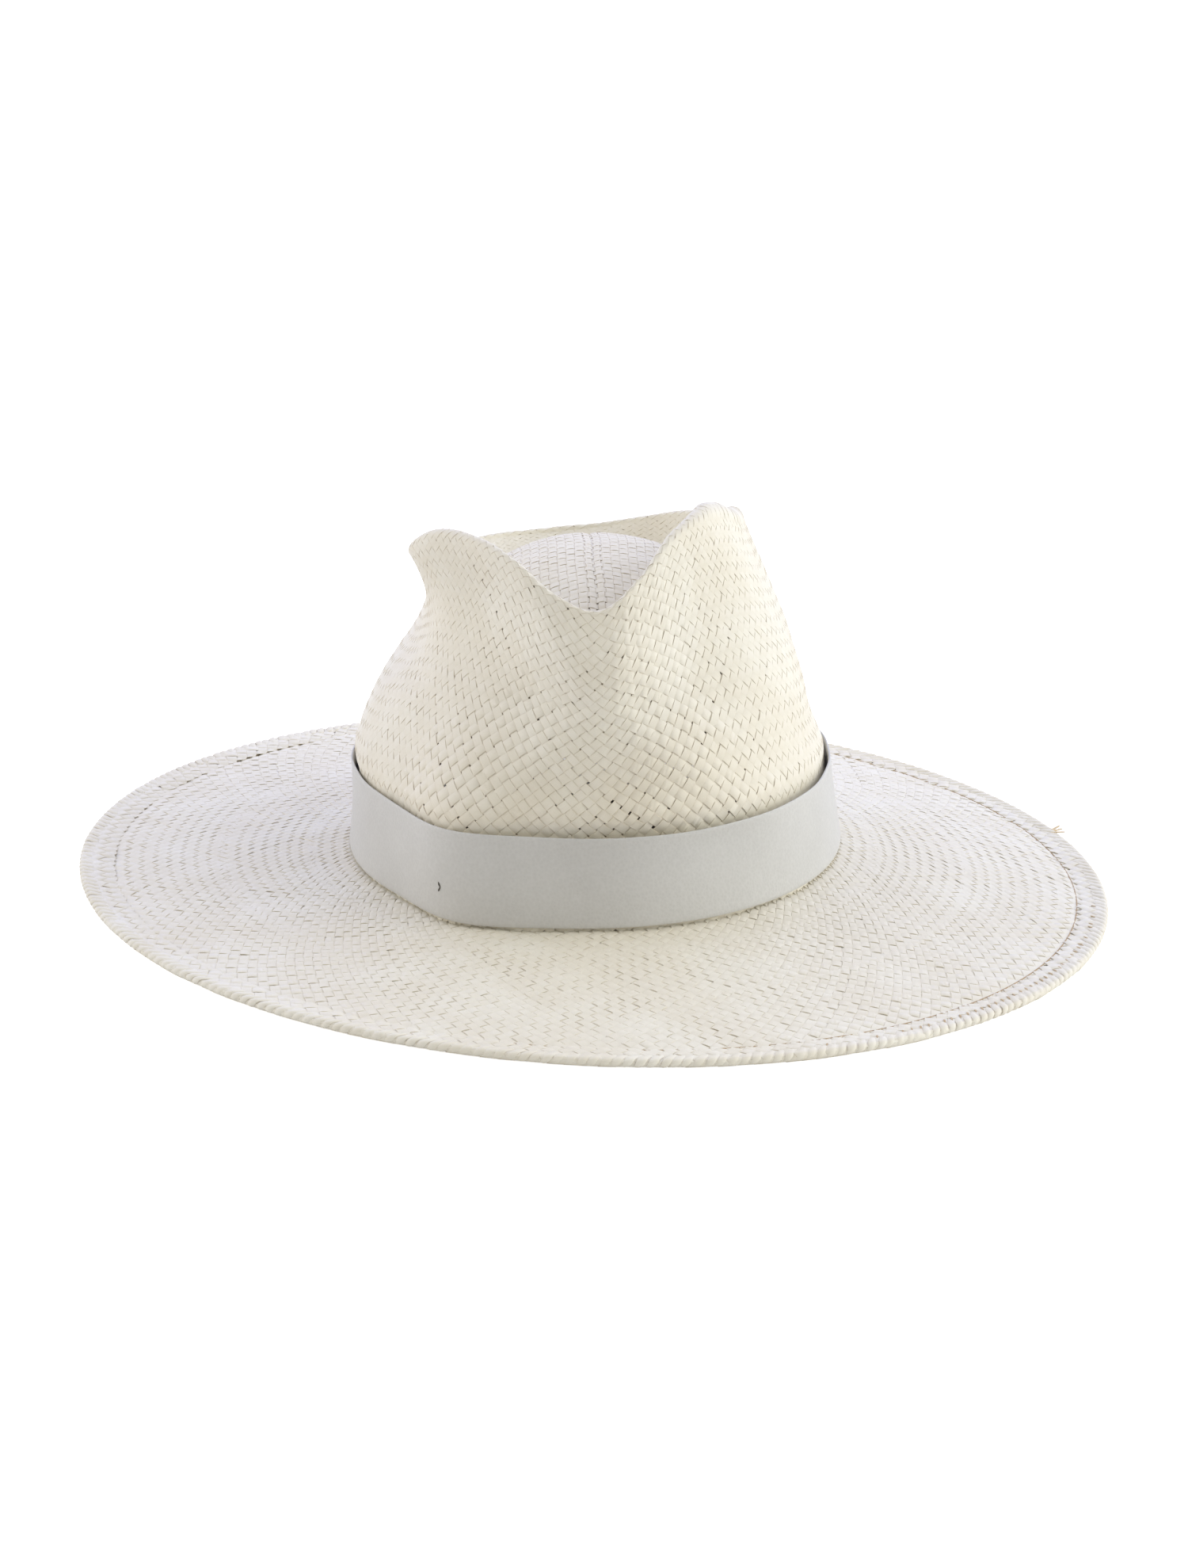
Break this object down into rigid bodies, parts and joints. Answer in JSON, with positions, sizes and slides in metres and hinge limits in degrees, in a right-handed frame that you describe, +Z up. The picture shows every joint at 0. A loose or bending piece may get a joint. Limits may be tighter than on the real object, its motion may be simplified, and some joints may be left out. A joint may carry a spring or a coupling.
{
  "type": "panama hat",
  "caption": "Wide-brim straw hat with a pinched crown and domed top, a plain leather band, an inner sweatband and a folded, wired hem.",
  "frame": {"origin": "centre of the head opening in plan, in the plane the brim's folded hem rests on", "axes": "+Z up through the crown, -Y towards the front of the hat, +X towards the viewer's right when the hat faces them"},
  "size_m": [0.366, 0.399, 0.1464],
  "materials": {
    "straw": "woven palm straw, satin",
    "band_leather": "fine-grained pale grey leather, satin",
    "sweat_leather": "smooth pale tan leather",
    "thread": "matt cotton thread",
    "dark_thread": "matt dark thread",
    "steel": "drawn wire",
    "brass": "plain tube",
    "reed": "smooth cord",
    "tape": "woven cotton tape",
    "ribbon": "narrow ribbed ribbon",
    "label": "blank woven label"
  },
  "bodies": {
    "root": {"straw_body": "straw", "brim_wire": "steel", "brim_wire_sleeve": "brass", "hem_thread": "thread", "hat_band": "band_leather", "band_join_stitches": "thread", "band_tack_left": "dark_thread", "band_tack_back": "dark_thread", "sweatband": "sweat_leather", "sweatband_reed": "reed", "sweatband_thread": "thread", "sweatband_back_tape": "tape", "size_label": "label", "sweatband_bow": "ribbon"}
  },
  "joints": []
}
